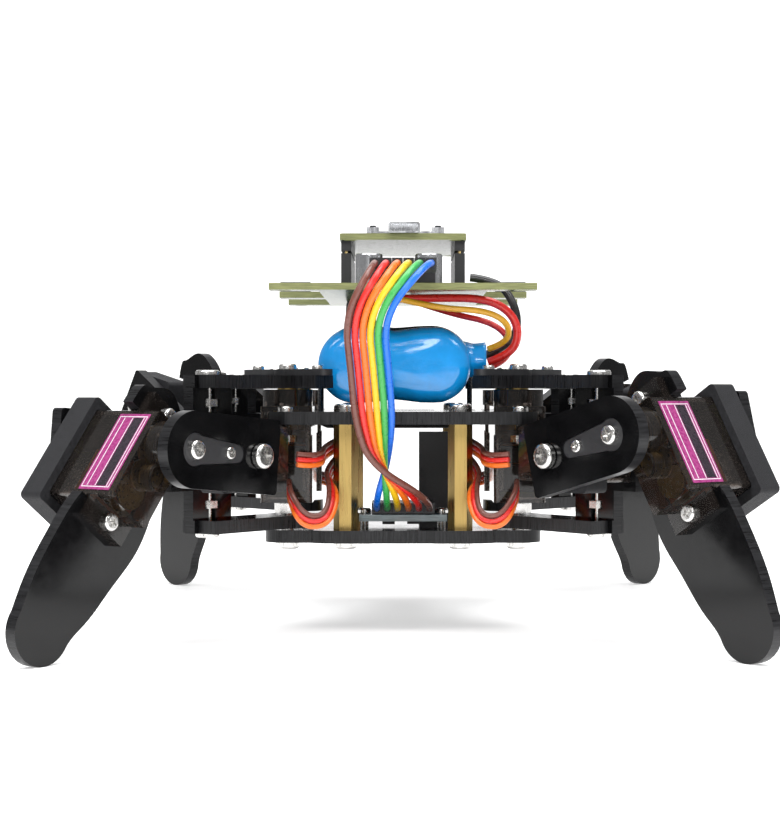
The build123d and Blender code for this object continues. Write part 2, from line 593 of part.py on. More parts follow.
with BuildPart() as housings:
    with BuildSketch(Plane.XZ.offset(-(BOARD_Y0 - 4.0))):
        with Locations(*[((k - 2.5) * PITCH, JUMPER_Z) for k in range(6)]):
            Rectangle(2.44, 2.5)
        with Locations(*[((k - 2.5) * PITCH, JUMPER_Z) for k in range(6)]):
            Rectangle(0.8, 0.8, mode=Mode.SUBTRACT)
    extrude(amount=-JUMPER_END_Y + BOARD_Y0 - 4.0)
    with BuildSketch(Plane.XZ.offset(14.2)):
        with Locations(*[(PLUG_X + (k - 2.5) * PITCH, PLUG_Z) for k in range(6)]):
            Rectangle(2.44, 2.5)
    extrude(amount=-PLUG_END_Y - 14.2)
    with Locations((7.8, 3.0, PLATE_LOW + ACRYLIC + 11.2), (7.8, 5.8, PLATE_LOW + ACRYLIC + 11.2)):
        Box(7.4, 2.5, 22.4)


def tube(points, radius, name):
    """Round cord along a route of straight runs joined by tangent arcs."""
    pts = [Vector(*p) for p in points]
    radii = []
    for a, b, c in zip(pts, pts[1:], pts[2:]):
        u, v = (b - a), (c - b)
        half = radians(u.get_angle(v)) / 2
        radii.append(0.45 * min(u.length, v.length) * cos(half) / sin(half))
    with BuildPart() as t:
        with BuildLine() as path:
            FilletPolyline(*pts, radius=radii)
        wire = path.wires()[0]
        with BuildSketch(Plane(origin=wire @ 0, z_dir=wire % 0)):
            Circle(radius)
        sweep(path=wire)
    print(f"{name}: length {wire.length:.1f} smallest bend {min(radii):.1f}"
          f" volume ratio {t.part.volume / (wire.length * pi * radius ** 2):.3f}")
    return t.part


def jumper_route(k):
    """Wire k of the six-way ribbon: top housing, over the front, half a twist, sensor housing."""
    o = k - 2.5
    return [(o * PITCH, JUMPER_END_Y - 0.2, JUMPER_Z),
            (o * PITCH * 0.92 - 0.6, -67.6, 85.0),
            (-8.6 + o * 1.7, -67.6, 73.5),
            (-7.4 + o * 1.7, -61.0, 61.0),
            (-6.6 + o * 1.7, -54.0 + o * 0.5, 50.0),
            (-5.6 + o * 0.8, -46.5 + o * 2.4, 40.0),
            (PLUG_X - o * PITCH, -37.5, 31.2),
            (PLUG_X - o * PITCH, PLUG_END_Y - 0.3, PLUG_Z)]


LEAD_R, THIN_R, SERVO_LEAD_R = 1.0, 0.75, 0.6
# leads leaving the battery's neck towards +X and curling up under and through the controller board
BATTERY_LEADS = (
    ("red lead", LEAD_R, ((20.6, -27.0, 63.8), (26.0, -28.2, 65.6), (28.0, -29.6, 70.8), (25.6, -31.0, 76.0),
                          (19.6, -31.0, 79.0), (8.0, -28.0, 79.3), (-2.0, -22.0, 79.3))),
    ("black lead", LEAD_R, ((20.6, -24.0, 65.8), (26.2, -23.4, 67.8), (28.2, -22.4, 73.2), (26.8, -21.6, 79.0),
                            (23.0, -21.0, 83.8), (17.0, -20.6, 84.6))),
    ("yellow lead", THIN_R, ((20.6, -27.6, 67.0), (25.2, -30.6, 68.4), (25.2, -33.6, 73.0), (19.6, -34.8, 76.0),
                             (8.0, -35.0, 76.4), (-3.5, -33.0, 79.4))),
    ("thin red lead", THIN_R, ((20.6, -23.0, 62.4), (25.6, -21.4, 64.2), (26.4, -19.8, 69.6), (21.8, -18.6, 73.8),
                               (12.0, -17.0, 75.8), (2.0, -12.0, 79.4))),
)
# three-wire servo ribbons: centre route with the sideways step of the outer wire at each point
LOOP_LEAD = (((26.8, -38.4, 34.4), (0, 0, -1)), ((26.4, -46.0, 32.4), (0, 0, -1)), ((22.8, -48.0, 26.6), (0.3, 0, -1)),
             ((17.4, -47.0, 27.0), (-0.3, 0, -1)), ((15.9, -41.0, 33.4), (-0.9, 0, -0.4)),
             ((18.9, -31.0, 37.8), (0, 0, -1)), ((13.5, -16.0, 41.8), (0, 0, -1)))
CROSS_LEAD = (((24.6, -45.4, 41.0), (0, 0, -1)), ((19.0, -42.6, 40.2), (0, 0, -1)), ((18.8, -31.0, 43.0), (0, 0, -1)),
              ((12.0, -17.0, 45.4), (0, 0, -1)))
REAR_LEAD = (((26.8, 38.4, 32.2), (0, 0, -1)), ((25.6, 46.2, 31.6), (0, 0, -1)), ((17.6, 46.4, 33.0), (0, 0, -1)),
             ((18.9, 34.0, 37.4), (0, 0, -1)), ((13.0, 18.0, 42.6), (0, 0, -1)))


def ribbon_route(side, spec, k):
    step = (k - 1) * 1.25
    return [(side * (p[0] + step * d[0]), p[1] + step * d[1], p[2] + step * d[2]) for p, d in spec]


jumpers = [tube(jumper_route(k), JUMPER_R, f"jumper {k}") for k in range(6)]
leads = [tube(route, radius, label) for label, radius, route in BATTERY_LEADS]
ribbons = [tube(ribbon_route(side, spec, k), SERVO_LEAD_R, f"{label} {side} {k}") for side in (-1, 1)
           for label, spec in (("loop lead", LOOP_LEAD), ("cross lead", CROSS_LEAD), ("rear lead", REAR_LEAD))
           for k in range(3)]

save(bottom_plate.part.moved(CHASSIS), "bottom_plate")
save(middle_plate.part.moved(CHASSIS), "middle_plate")
save(combine(*place(standoff.part, *[Location((sx * STANDOFF_X, sy * STANDOFF_Y, 0)) for sx, sy in CORNERS]),
             *fasteners).moved(CHASSIS), "standoffs_and_screws")
save(combine(*yaw_servos).moved(CHASSIS), "yaw_servos")
save(battery_pack.part.moved(CHASSIS), "battery_pack")
save(battery_strap.part.moved(CHASSIS), "battery_strap")
save(board_pad.part.moved(CHASSIS), "board_pad")
save(combine(*components).moved(CHASSIS), "controller_board")
save(combine(*mcu_parts).moved(CHASSIS), "wifi_board")
save(combine(*sensor_bits).moved(CHASSIS), "sensor_board")
save(combine(housings.part).moved(CHASSIS), "wire_housings")
save(combine(*jumpers).moved(CHASSIS), "jumper_wires")
save(combine(*leads).moved(CHASSIS), "battery_leads")
save(combine(*ribbons).moved(CHASSIS), "servo_leads")
for name, x in (("reset_button", KEY_X[0]), ("flash_button", KEY_X[1])):
    save(key_cap.part.moved(CHASSIS * Location((x, KEY_Y, 0))), name)
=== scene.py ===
from math import asin, cos, exp, pi, radians, sin

import bmesh
import bpy
from mathutils import Matrix, Vector


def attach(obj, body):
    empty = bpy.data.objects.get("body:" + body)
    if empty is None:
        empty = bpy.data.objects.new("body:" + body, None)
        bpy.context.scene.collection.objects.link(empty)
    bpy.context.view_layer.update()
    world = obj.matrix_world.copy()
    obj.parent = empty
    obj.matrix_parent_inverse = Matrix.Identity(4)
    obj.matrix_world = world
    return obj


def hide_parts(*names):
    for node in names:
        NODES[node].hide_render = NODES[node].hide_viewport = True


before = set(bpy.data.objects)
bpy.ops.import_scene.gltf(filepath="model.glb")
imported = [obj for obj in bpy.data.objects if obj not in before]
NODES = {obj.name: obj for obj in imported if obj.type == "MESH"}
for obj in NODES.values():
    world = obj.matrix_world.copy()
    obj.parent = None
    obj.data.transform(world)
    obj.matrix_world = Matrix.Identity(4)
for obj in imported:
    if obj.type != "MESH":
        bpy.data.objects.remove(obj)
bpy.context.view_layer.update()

# ---- dimensions shared with part.py, millimetres ------------------------------------------------
MM = 0.001
BODY = Vector((0.0, 7.65, 0.0))
YAW_X, YAW_Y, HIP_X, HIP_Z, FEMUR, CASE_FLOOR = 27.5, 32.0, 30.9, 42.5, 20.0, 12.8
FOOT_U, FOOT_V, FOOT_R = 46.3, -0.8, 7.4
SV_L, SV_W, SV_H, SV_MID = 22.8, 12.2, 22.7, 5.4
LEGS = {
    "front_right": (False, 1, -1, -51.0, 31.0),
    "front_left": (True, -1, -1, 231.5, 38.0),
    "rear_left": (False, -1, 1, 134.0, 12.0),
    "rear_right": (True, 1, 1, 45.0, 18.0),
}


# ---- leg frames ---------------------------------------------------------------------------------
def leg_matrix(leg):
    flip, sx, sy, heading, _ = LEGS[leg]
    m = Matrix.Translation(BODY + Vector((sx * YAW_X, sy * YAW_Y, 0))) @ Matrix.Rotation(radians(heading), 4, "Z")
    return m @ Matrix.Diagonal((1, -1 if flip else 1, 1, 1))


def knee_matrix(leg):
    lean = radians(LEGS[leg][4])
    height = FOOT_U * cos(lean) - FOOT_V * sin(lean) + FOOT_R
    lift = asin((height - HIP_Z) / FEMUR)
    return (leg_matrix(leg) @ Matrix.Translation((HIP_X + FEMUR * cos(lift), 0, height))
            @ Matrix.Rotation(-lean, 4, "Y"))


def axes(m, origin, x, z):
    """Right-handed frame, in metres, from an origin and two directions of frame m."""
    r = m.to_3x3()
    x, z = (r @ Vector(x)).normalized(), (r @ Vector(z)).normalized()
    y = z.cross(x)
    out = Matrix((x, y, z)).transposed().to_4x4()
    out.translation = (m @ Vector(origin)) * MM
    return out


# ---- node materials -----------------------------------------------------------------------------
class Finish:
    def __init__(self, name, turn=0.0, **sockets):
        self.m = bpy.data.materials.new(name)
        self.m.use_nodes = True
        self.t = self.m.node_tree
        self.b = self.t.nodes["Principled BSDF"]
        tc = self.t.nodes.new("ShaderNodeTexCoord")
        self.normal = tc.outputs["Normal"]
        mp = self.t.nodes.new("ShaderNodeMapping")
        mp.inputs["Rotation"].default_value[2] = -turn
        self.t.links.new(tc.outputs["Object"], mp.inputs["Vector"])
        self.at = mp.outputs[0]
        for key, value in sockets.items():
            self.b.inputs[key.replace("_", " ")].default_value = value

    def link(self, a, b):
        self.t.links.new(a, b)

    def node(self, kind, **props):
        n = self.t.nodes.new("ShaderNode" + kind)
        for key, value in props.items():
            setattr(n, key, value)
        return n

    def stretched(self, stretch):
        if stretch == (1, 1, 1):
            return self.at
        n = self.node("Mapping")
        n.inputs["Scale"].default_value = stretch
        self.link(self.at, n.inputs["Vector"])
        return n.outputs[0]

    def noise(self, scale, detail=4.0, stretch=(1, 1, 1), rough=0.6):
        n = self.node("TexNoise")
        self.link(self.stretched(stretch), n.inputs["Vector"])
        n.inputs["Scale"].default_value = scale
        n.inputs["Detail"].default_value = detail
        n.inputs["Roughness"].default_value = rough
        return n.outputs[0]

    def wave(self, scale, direction="X", distort=0.0, profile="SIN"):
        n = self.node("TexWave", bands_direction=direction, wave_profile=profile)
        self.link(self.at, n.inputs["Vector"])
        n.inputs["Scale"].default_value = scale
        n.inputs["Distortion"].default_value = distort
        return n.outputs[1]

    def ramp(self, fac, stops):
        n = self.node("ValToRGB")
        while len(n.color_ramp.elements) < len(stops):
            n.color_ramp.elements.new(0.5)
        for e, (p, c) in zip(n.color_ramp.elements, stops):
            e.position, e.color = p, (*c, 1)
        self.link(fac, n.inputs[0])
        return n.outputs[0]

    def span(self, fac, low, high, start=0.3, stop=0.7):
        n = self.node("MapRange")
        for key, value in (("From Min", start), ("From Max", stop), ("To Min", low), ("To Max", high)):
            n.inputs[key].default_value = value
        self.link(fac, n.inputs["Value"])
        return n.outputs[0]

    def math(self, operation, a, b=None):
        n = self.node("Math", operation=operation)
        for i, v in enumerate((a, b)):
            if v is None:
                continue
            if isinstance(v, (int, float)):
                n.inputs[i].default_value = v
            else:
                self.link(v, n.inputs[i])
        return n.outputs[0]

    def mix(self, fac, a, b):
        n = self.node("MixRGB")
        for i, v in enumerate((fac, a, b)):
            if isinstance(v, tuple):
                n.inputs[i].default_value = (*v, 1)
            elif isinstance(v, (int, float)):
                n.inputs[i].default_value = v
            else:
                self.link(v, n.inputs[i])
        return n.outputs[0]

    def bump(self, height, strength=0.3, distance=0.0002):
        n = self.node("Bump")
        n.inputs["Strength"].default_value = strength
        n.inputs["Distance"].default_value = distance
        self.link(height, n.inputs["Height"])
        self.link(n.outputs[0], self.b.inputs["Normal"])

    def colour(self, socket):
        self.link(socket, self.b.inputs["Base Color"])

    def rough(self, socket):
        self.link(socket, self.b.inputs["Roughness"])


def shade(c, k):
    return tuple(min(1.0, v * k) for v in c)


def plain(name, colour, rough, vary=0.2, spread=0.08, scale=500.0, stretch=(1, 1, 1), bump=0.15, turn=0.0,
          depth=0.0001, **sockets):
    """A worn, slightly uneven surface: mottled colour, uneven gloss and fine relief."""
    f = Finish(name, turn, **sockets)
    fine = f.noise(scale, 6.0, stretch)
    broad = f.noise(scale * 0.12, 3.0)
    f.colour(f.mix(f.span(broad, 0.0, 0.5), f.ramp(fine, ((0.3, shade(colour, 1 - vary)), (0.7, shade(colour, 1 + vary)))),
                   shade(colour, 1 + vary * 0.5)))
    f.rough(f.span(fine, rough - spread, rough + spread))
    f.bump(fine, bump, depth)
    return f.m


def acrylic(name, turn, thickness):
    """Gloss black sheet with laser-cut edges: fine lines across the thickness on faces of the cut."""
    f = Finish(name, turn, IOR=1.49, Specular_IOR_Level=0.3)
    n = f.node("VectorMath", operation="DOT_PRODUCT")
    n.inputs[1].default_value = thickness
    f.link(f.normal, n.inputs[0])
    cut = f.math("LESS_THAN", f.math("ABSOLUTE", n.outputs["Value"]), 0.5)
    flat = thickness[2] > 0.5
    stretch = (1, 1, 0.04) if flat else (1, 0.04, 1)
    lines = f.noise(2600.0, 3.0, stretch, 0.75)
    scuffs = f.noise(90.0, 8.0, (1, 1, 1), 0.7)
    face = f.ramp(scuffs, ((0.35, (0.0022, 0.0022, 0.0025)), (0.75, (0.006, 0.006, 0.0065))))
    edge = f.ramp(lines, ((0.36, (0.003, 0.003, 0.0035)), (0.66, (0.020, 0.020, 0.022))))
    f.colour(f.mix(cut, face, edge))
    smooth = f.span(scuffs, 0.05, 0.16)
    f.rough(f.math("ADD", smooth, f.math("MULTIPLY", cut, f.span(lines, 0.14, 0.3))))
    f.bump(f.math("MULTIPLY", cut, lines), 0.25, 0.0001)
    return f.m


def circuit(name, mask, edge):
    """Solder mask over copper runs on the faces, bare fibreglass on the edges."""
    f = Finish(name, Specular_IOR_Level=0.5)
    n = f.node("VectorMath", operation="DOT_PRODUCT")
    n.inputs[1].default_value = (0, 0, 1)
    f.link(f.normal, n.inputs[0])
    rim = f.math("LESS_THAN", f.math("ABSOLUTE", n.outputs["Value"]), 0.5)
    brick = f.node("TexBrick")
    f.link(f.at, brick.inputs["Vector"])
    for key, value in (("Scale", 300.0), ("Mortar Size", 0.045), ("Brick Width", 0.9), ("Row Height", 0.38)):
        brick.inputs[key].default_value = value
    brick.inputs["Color1"].default_value = (0, 0, 0, 1)
    brick.inputs["Color2"].default_value = (0.2, 0.2, 0.2, 1)
    brick.inputs["Mortar"].default_value = (1, 1, 1, 1)
    weave = f.noise(1500.0, 4.0, (1, 1, 1))
    face = f.mix(f.span(brick.outputs[0], 0.0, 0.55, 0.0, 1.0), shade(mask, 0.8), shade(mask, 1.5))
    layers = f.noise(900.0, 3.0, (0.3, 0.3, 6.0))
    side = f.ramp(layers, ((0.35, shade(edge, 0.72)), (0.65, shade(edge, 1.18))))
    f.colour(f.mix(rim, f.mix(f.span(weave, 0.0, 0.2), face, shade(mask, 0.6)), side))
    f.rough(f.math("ADD", f.span(weave, 0.2, 0.3), f.math("MULTIPLY", rim, 0.35)))
    f.bump(brick.outputs[0], 0.25, 0.00006)
    return f.m


def printed(name, turn):
    """Fused-filament plastic: layer lines across the cap and a dull, grainy skin."""
    f = Finish(name, turn, Specular_IOR_Level=0.25)
    grain = f.noise(1400.0, 8.0, (1, 1, 1), 0.75)
    layers = f.wave(1300.0, "Y", 0.6)
    f.colour(f.ramp(grain, ((0.3, (0.008, 0.008, 0.009)), (0.72, (0.034, 0.034, 0.038)))))
    f.rough(f.span(grain, 0.5, 0.8))
    f.bump(f.math("ADD", grain, f.math("MULTIPLY", layers, 0.7)), 0.6, 0.00025)
    return f.m


def woven():
    f = Finish("strap_weave", Sheen_Weight=0.35, Sheen_Roughness=0.5)
    weft, warp = f.wave(900.0, "Y"), f.wave(800.0, "DIAGONAL")
    fuzz = f.noise(3500.0, 6.0)
    height = f.math("ADD", f.math("MULTIPLY", weft, warp), f.math("MULTIPLY", fuzz, 0.6))
    f.colour(f.ramp(height, ((0.25, (0.004, 0.004, 0.004)), (1.0, (0.03, 0.03, 0.032)))))
    f.rough(f.span(fuzz, 0.7, 0.95))
    f.bump(height, 0.8, 0.0003)
    return f.m


BAND_Y = 1.6


def label():
    """Generic servo label: magenta border, dark band, thin white lines, no lettering."""
    f = Finish("servo_label", Coat_Weight=0.4, Coat_Roughness=0.12)
    xyz = f.node("SeparateXYZ")
    f.link(f.at, xyz.inputs[0])
    across = f.math("ABSOLUTE", f.math("MULTIPLY", xyz.outputs[1], 1000.0))
    along = f.math("ABSOLUTE", f.math("MULTIPLY", xyz.outputs[0], 1000.0))
    ink = f.noise(900.0, 5.0)
    magenta = f.ramp(ink, ((0.3, (0.26, 0.025, 0.14)), (0.7, (0.36, 0.04, 0.20))))
    dark = f.ramp(ink, ((0.3, (0.012, 0.008, 0.014)), (0.7, (0.03, 0.018, 0.03))))
    signed = f.math("MULTIPLY", xyz.outputs[1], 1000.0)

    def stripe(value, centre, half):
        n = f.node("Math", operation="COMPARE")
        f.link(value, n.inputs[0])
        n.inputs[1].default_value, n.inputs[2].default_value = centre, half
        return n.outputs[0]

    inside = f.math("LESS_THAN", along, 9.0)
    band = f.math("MULTIPLY", stripe(signed, BAND_Y, 1.45), inside)
    rules = f.math("MAXIMUM", stripe(signed, BAND_Y - 1.75, 0.11), stripe(signed, BAND_Y + 1.75, 0.11))
    rules = f.math("MAXIMUM", rules, stripe(signed, -BAND_Y - 1.0, 0.11))
    rules = f.math("MULTIPLY", rules, inside)
    frame_line = f.math("MULTIPLY", stripe(across, 4.15, 0.1), f.math("LESS_THAN", along, 9.35))
    ends = f.math("MULTIPLY", stripe(along, 9.25, 0.1), f.math("LESS_THAN", across, 4.2))
    white = f.math("MAXIMUM", f.math("MAXIMUM", rules, frame_line), ends)
    f.colour(f.mix(white, f.mix(band, magenta, dark), (0.75, 0.72, 0.75)))
    f.rough(f.span(ink, 0.22, 0.34))
    f.bump(ink, 0.1, 0.00005)
    return f.m


def smoke(name, tint, clear):
    """Translucent moulded case with faint swirls."""
    f = Finish(name, Transmission_Weight=clear, IOR=1.46)
    swirl = f.noise(220.0, 5.0)
    f.colour(f.ramp(swirl, ((0.3, shade(tint, 0.75)), (0.7, shade(tint, 1.2)))))
    f.rough(f.span(swirl, 0.03, 0.09))
    f.bump(swirl, 0.06, 0.0001)
    return f.m


def insulation(name, colour):
    return plain(name, colour, 0.3, 0.1, 0.06, 900.0, (1, 1, 1), 0.12, Coat_Weight=0.25, Coat_Roughness=0.2)


FLAT_SHEET = acrylic("acrylic_level", 0.0, (0, 0, 1))
LEG_SHEET = {leg: acrylic(f"acrylic_{leg}", radians(s[3]), (-sin(radians(s[3])), cos(radians(s[3])), 0))
             for leg, s in LEGS.items()}
PRINT = {leg: printed(f"printed_{leg}", radians(s[3])) for leg, s in LEGS.items()}
STEEL = plain("nickel_plate", (0.70, 0.69, 0.67), 0.24, 0.12, 0.09, 900.0, bump=0.12, Metallic=1.0)
BRASS = plain("brass_bar", (0.44, 0.31, 0.11), 0.32, 0.18, 0.1, 1500.0, (1, 1, 0.06), 0.25, Metallic=1.0)
GOLD = plain("gilt_pin", (0.85, 0.64, 0.28), 0.25, 0.1, 0.06, 1800.0, Metallic=1.0)
TIN = plain("tin_can", (0.66, 0.67, 0.69), 0.22, 0.12, 0.1, 700.0, (1, 1, 0.2), 0.1, Metallic=1.0)
COPPER = plain("copper_winding", (0.80, 0.27, 0.07), 0.38, 0.35, 0.12, 1800.0, (1, 1, 4.0), 0.5, Metallic=0.55)
NYLON = plain("black_nylon", (0.016, 0.016, 0.018), 0.42, 0.3, 0.12, 1400.0, bump=0.3)
CASE = smoke("smoke_case", (0.085, 0.070, 0.062), 0.88)
BOARD = circuit("olive_mask", (0.10, 0.14, 0.035), (0.23, 0.245, 0.095))
PALE_BOARD = circuit("blue_grey_mask", (0.12, 0.19, 0.24), (0.42, 0.50, 0.52))
BLUE = plain("heat_shrink", (0.006, 0.36, 0.92), 0.14, 0.1, 0.07, 260.0, (1, 0.35, 1), 0.35, depth=0.0004,
             Coat_Weight=0.6, Coat_Roughness=0.06)
FOAM = plain("foam", (0.02, 0.02, 0.022), 0.85, 0.4, 0.1, 2500.0, bump=0.9, depth=0.0003)
STRAP, LABEL = woven(), label()
WIRE = {name: insulation(f"wire_{name}", colour) for name, colour in {
    "brown": (0.17, 0.055, 0.04), "red": (0.72, 0.022, 0.018), "orange": (0.86, 0.17, 0.015),
    "yellow": (0.88, 0.55, 0.015), "green": (0.05, 0.42, 0.09), "blue": (0.012, 0.16, 0.75),
    "black": (0.012, 0.012, 0.013), "amber": (0.75, 0.38, 0.02)}.items()}


def paint(node, materials, rule=None):
    """Gives a CAD node its materials; rule(centre in mm from the chassis centre, normal) picks one per face."""
    me = NODES[node].data
    me.materials.clear()
    for m in materials:
        me.materials.append(m)
    for p in me.polygons:
        p.material_index = rule(p.center / MM - BODY, p.normal) if rule else 0


def near(p, x, y, r):
    return (abs(p.x) - x) ** 2 + (abs(p.y) - y) ** 2 < r * r


paint("bottom_plate", [FLAT_SHEET])
paint("middle_plate", [FLAT_SHEET])
paint("standoffs_and_screws", [STEEL, BRASS], lambda p, n: int(near(p, 13.7, 32.0, 3.1) and 23.9 < p.z < 49.1))
paint("yaw_servos", [CASE])
paint("wire_housings", [NYLON])
for key in ("reset_button", "flash_button"):
    paint(key, [NYLON])


def controller_rule(p, n):
    if p.z < 82.25:
        return 0
    if abs(p.y + 26.0) < 3.5:
        return 2 if abs(p.x) < 11.6 else 1
    if p.y < -41.4 or (p.y < -38.5 and n.y > 0.9 and p.z < 83):
        return 3
    return 1


def radio_rule(p, n):
    if p.z < 93.79:
        return 1 if p.z > 91.2 else 3
    if p.z < 95.45:
        return 0
    return 1 if n.z < -0.9 and abs(p.y + 17.6) < 1 else 2


paint("controller_board", [BOARD, NYLON, TIN, GOLD], controller_rule)
paint("wifi_board", [BOARD, NYLON, TIN, GOLD], radio_rule)
paint("sensor_board", [PALE_BOARD, NYLON], lambda p, n: int(p.z > 27.05 or p.z < 25.35))
for leg, (flip, sx, sy, heading, _) in LEGS.items():
    side = Vector((-sin(radians(heading)), cos(radians(heading)), 0)) * (-1 if flip else 1)
    pivot = Vector((sx * YAW_X, sy * YAW_Y, 0))

    def lateral(p, side=side, pivot=pivot):
        return (p - pivot).dot(side)

    def from_axis(p, pivot=pivot):
        return (Vector((p.x, p.y, 0)) - pivot).length

    paint(f"{leg}_coxa_plates", [FLAT_SHEET])
    for piece in ("coxa_side_plate", "femur_front_link", "femur_rear_link", "tibia_plate"):
        paint(f"{leg}_{piece}", [LEG_SHEET[leg]])
    for piece in ("hip_servo", "knee_servo"):
        paint(f"{leg}_{piece}", [CASE])
    paint(f"{leg}_hip_bracket", [PRINT[leg]])
    paint(f"{leg}_knee_bracket", [PRINT[leg], STEEL], lambda p, n, f=lateral: int(f(p) > 16.25 or f(p) < -3.0))
    paint(f"{leg}_coxa_hardware", [STEEL, NYLON, BRASS],
          lambda p, n, f=from_axis: (1 if 60.45 < p.z < 62.05 and (p.z > 60.6 or n.z < 0) else 2 if p.z < 60.4 and f(p) < 2.6
                                     else 0) if f(p) < 14.2 else 0)
    paint(f"{leg}_femur_hardware", [STEEL, NYLON, BRASS],
          lambda p, n, f=lateral: 0 if abs(f(p)) > 19.32 else 1 if abs(f(p)) > 15.9 else 2)


# ---- mesh helpers -------------------------------------------------------------------------------
def finished(name, mesh, matrix, materials, body, soften=0.0, smooth=True):
    obj = bpy.data.objects.new(name, mesh)
    bpy.context.scene.collection.objects.link(obj)
    obj.matrix_world = matrix
    for m in materials:
        mesh.materials.append(m)
    if smooth:
        for p in mesh.polygons:
            p.use_smooth = True
    if soften:
        b = obj.modifiers.new("soften", "BEVEL")
        b.width, b.segments, b.limit_method, b.angle_limit = soften * MM, 2, "ANGLE", radians(40)
        b.harden_normals = True
    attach(obj, body)
    return obj


def add_box(bm, low, high, index=0):
    c, s = [(a + b) / 2 * MM for a, b in zip(low, high)], [(b - a) * MM for a, b in zip(low, high)]
    made = bmesh.ops.create_cube(bm, size=1.0, matrix=Matrix.Translation(c) @ Matrix.Diagonal((*s, 1)))
    for f in {f for v in made["verts"] for f in v.link_faces}:
        f.material_index = index


def add_rod(bm, x, y, z0, z1, r, index=0, r2=None, sides=28):
    made = bmesh.ops.create_cone(bm, cap_ends=True, segments=sides, radius1=r * MM, radius2=(r if r2 is None else r2) * MM,
                                 depth=(z1 - z0) * MM, matrix=Matrix.Translation((x * MM, y * MM, (z0 + z1) / 2 * MM)))
    for f in {f for v in made["verts"] for f in v.link_faces}:
        f.material_index = index


def to_mesh(bm, name):
    me = bpy.data.meshes.new(name)
    bm.to_mesh(me)
    bm.free()
    return me


def lofted(name, rings, closed_ends=True):
    """Mesh from rings of equal count, each a list of points in mm."""
    n = len(rings[0])
    verts = [Vector(p) * MM for ring in rings for p in ring]
    faces = [(i * n + j, i * n + (j + 1) % n, (i + 1) * n + (j + 1) % n, (i + 1) * n + j)
             for i in range(len(rings) - 1) for j in range(n)]
    if closed_ends:
        faces += [tuple(range(n))[::-1], tuple(range((len(rings) - 1) * n, len(rings) * n))]
    me = bpy.data.meshes.new(name)
    me.from_pydata(verts, [], faces)
    bm = bmesh.new()
    bm.from_mesh(me)
    bmesh.ops.recalc_face_normals(bm, faces=bm.faces)
    bm.to_mesh(me)
    bm.free()
    return me


# ---- what shows through the smoky servo cases, their screws and labels --------------------------
def servo_insides():
    bm = bmesh.new()
    add_box(bm, (4.4, -4.7, 9.4), (15.2, 4.7, 13.6), 1)
    add_box(bm, (-4.4, -4.4, 9.6), (3.6, 4.4, 13.2), 4)
    add_rod(bm, 10.2, 0.0, 1.4, 9.0, 4.6, 0)
    add_box(bm, (-4.6, -4.6, 1.2), (4.6, 4.6, 2.6), 3)
    add_rod(bm, 0.0, 0.0, 2.8, 8.6, 3.6, 4)
    for x, z, r in ((0.0, 17.2, 5.0), (7.0, 18.6, 3.6), (11.4, 17.0, 3.9), (0.0, 20.4, 3.4), (6.8, 21.4, 2.4)):
        add_rod(bm, x, 0.0, z, z + 1.3, r, 2, sides=36)
    for x in (-4.9, 15.7):
        for y in (-5.1, 5.1):
            add_rod(bm, x, y, 0.5, 21.4, 0.62, 0, sides=16)
    return bm


def servo_frames():
    world = Matrix.Identity(4)
    for sx, sy in ((-1, -1), (1, -1), (-1, 1), (1, 1)):
        name = ("front" if sy < 0 else "rear") + ("_left" if sx < 0 else "_right") + "_yaw"
        yield name, "chassis", axes(world, BODY + Vector((sx * YAW_X, sy * YAW_Y, 30.5)), (0, -sy, 0), (0, 0, 1))
    for leg in LEGS:
        yield f"{leg}_hip", f"{leg}_coxa", axes(leg_matrix(leg), (HIP_X, -CASE_FLOOR, HIP_Z), (-1, 0, 0), (0, 1, 0))
        yield f"{leg}_knee", f"{leg}_tibia", axes(knee_matrix(leg), (0, CASE_FLOOR, 0), (0, 0, -1), (0, -1, 0))


for name, body, at in servo_frames():
    finished(f"{name}_insides", to_mesh(servo_insides(), f"{name}_insides"), at,
             [STEEL, COPPER, BRASS, BOARD, NYLON], body, 0.15)

for leg in LEGS:
    bm = bmesh.new()
    add_box(bm, (-10.0, -4.7, 0.0), (10.0, 4.7, 0.12))
    at = axes(knee_matrix(leg), (SV_W / 2 + 0.02, CASE_FLOOR - 16.3, -SV_MID), (0, 0, -1), (1, 0, 0))
    finished(f"{leg}_servo_label", to_mesh(bm, f"{leg}_servo_label"), at, [LABEL], f"{leg}_tibia", 0.05)

# ---- battery: shrink film drawn over two cells, with its gathered neck --------------------------
BAT_X, BAT_R, CELL_Z, BAT_Y0, BAT_Y1 = -2.0, 9.2, 63.1, -33.0, 34.0
BAT_ROUND = 3.6                            # rounding of the two ends


def pack_ring(y, inset, crease):
    ring = []
    for k in range(112):
        a = 2 * pi * k / 112
        r = BAT_R - inset
        x, z = (BAT_R if cos(a) >= 0 else -BAT_R) + r * cos(a), r * sin(a)
        if abs(cos(a)) < 0.2:
            x = BAT_R * cos(a) / 0.2 + r * cos(a)
        z *= 1 - (0.10 + crease) * exp(-(x / 4.5) ** 2)
        ripple = 0.12 * sin(5 * a + 0.35 * y) * sin(0.23 * y + 1.3 * a)
        ring.append((BODY.x + BAT_X + x, BODY.y + y, CELL_Z + z - abs(ripple) * 0.6))
    return ring


rings = []
for k in range(9):
    a = k / 8 * pi / 2
    rings.append(pack_ring(BAT_Y0 + BAT_ROUND * (1 - cos(a)), BAT_ROUND * (1 - sin(a)), 0.10 * cos(a)))
for k in range(1, 24):
    rings.append(pack_ring(BAT_Y0 + BAT_ROUND + (BAT_Y1 - BAT_Y0 - 2 * BAT_ROUND) * k / 24, 0.0, 0.0))
for k in range(9):
    a = (8 - k) / 8 * pi / 2
    rings.append(pack_ring(BAT_Y1 - BAT_ROUND * (1 - cos(a)), BAT_ROUND * (1 - sin(a)), 0.10 * cos(a)))


